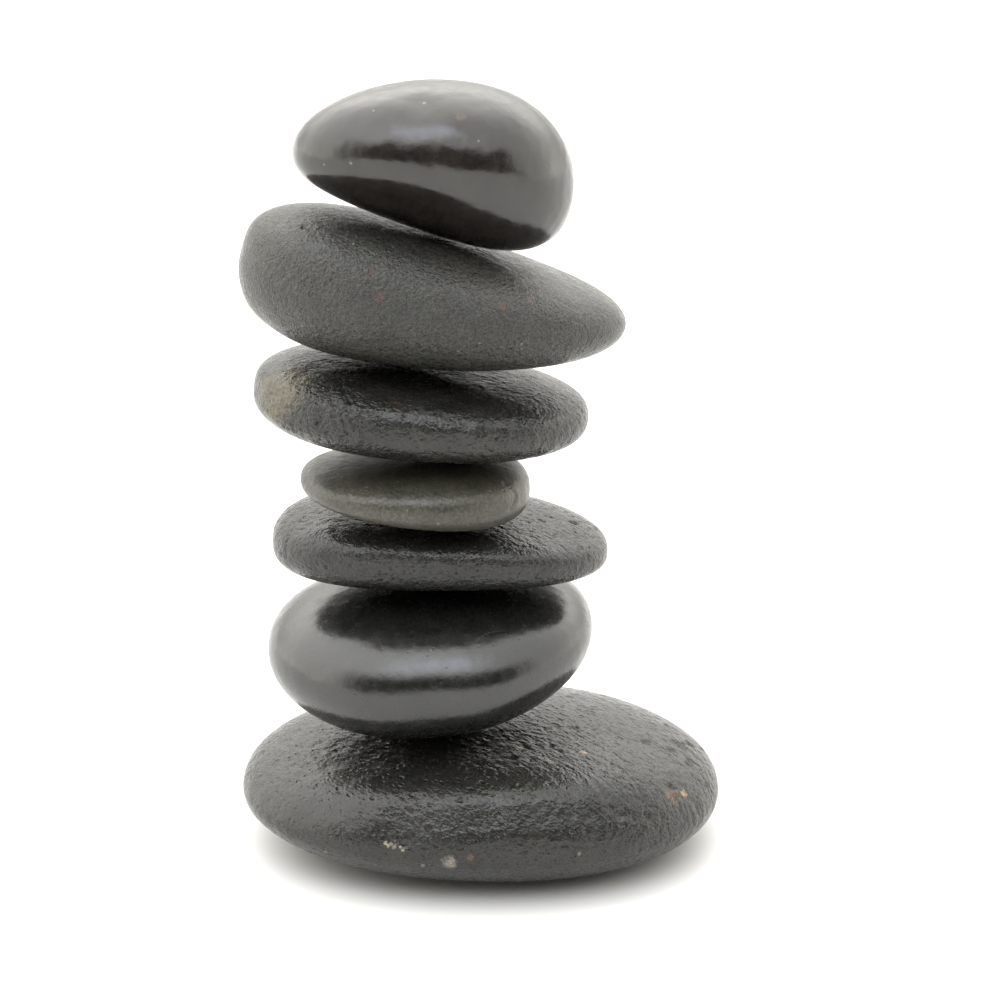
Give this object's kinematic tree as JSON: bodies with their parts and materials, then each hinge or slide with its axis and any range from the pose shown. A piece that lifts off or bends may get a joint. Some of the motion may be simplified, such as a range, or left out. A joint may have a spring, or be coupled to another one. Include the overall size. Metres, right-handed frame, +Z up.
{
  "type": "basalt massage stone stack",
  "caption": "Balanced stack of loose, rounded dark basalt massage stones on a wide flat-footed base stone; polished and pitted stones alternate.",
  "frame": {"origin": "on the surface that the stack stands on, under the middle of the stack's box", "axes": "+Z up, -Y the stack's front, +X its right-hand side seen from the front"},
  "size_m": [0.1236, 0.093, 0.1983],
  "materials": {
    "pitted_charcoal_basalt": "satin",
    "polished_black_basalt": "polished",
    "pitted_black_basalt": "satin",
    "matte_olive_basalt": "satin",
    "ochre_marked_basalt": "satin",
    "matte_grey_basalt": "matte",
    "polished_brown_black_basalt": "gloss"
  },
  "bodies": {
    "base_stone": {"base_stone": "pitted_charcoal_basalt"},
    "polished_round_stone": {"polished_round_stone": "polished_black_basalt"},
    "pitted_flat_stone": {"pitted_flat_stone": "pitted_black_basalt"},
    "small_oval_stone": {"small_oval_stone": "matte_olive_basalt"},
    "ochre_marked_stone": {"ochre_marked_stone": "ochre_marked_basalt"},
    "long_wedge_stone": {"long_wedge_stone": "matte_grey_basalt"},
    "top_polished_stone": {"top_polished_stone": "polished_brown_black_basalt"}
  },
  "joints": [
    {"name": "polished_round_lift", "type": "slide", "parent": "base_stone", "child": "polished_round_stone", "axis": [0, 0, 1], "range_m": [0, 0.02]},
    {"name": "pitted_flat_lift", "type": "slide", "parent": "polished_round_stone", "child": "pitted_flat_stone", "axis": [0, 0, 1], "range_m": [0, 0.02]},
    {"name": "small_oval_lift", "type": "slide", "parent": "pitted_flat_stone", "child": "small_oval_stone", "axis": [0, 0, 1], "range_m": [0, 0.02]},
    {"name": "ochre_marked_lift", "type": "slide", "parent": "small_oval_stone", "child": "ochre_marked_stone", "axis": [0, 0, 1], "range_m": [0, 0.02]},
    {"name": "long_wedge_lift", "type": "slide", "parent": "ochre_marked_stone", "child": "long_wedge_stone", "axis": [0, 0, 1], "range_m": [0, 0.02]},
    {"name": "top_polished_lift", "type": "slide", "parent": "long_wedge_stone", "child": "top_polished_stone", "axis": [0, 0, 1], "range_m": [0, 0.02]}
  ]
}
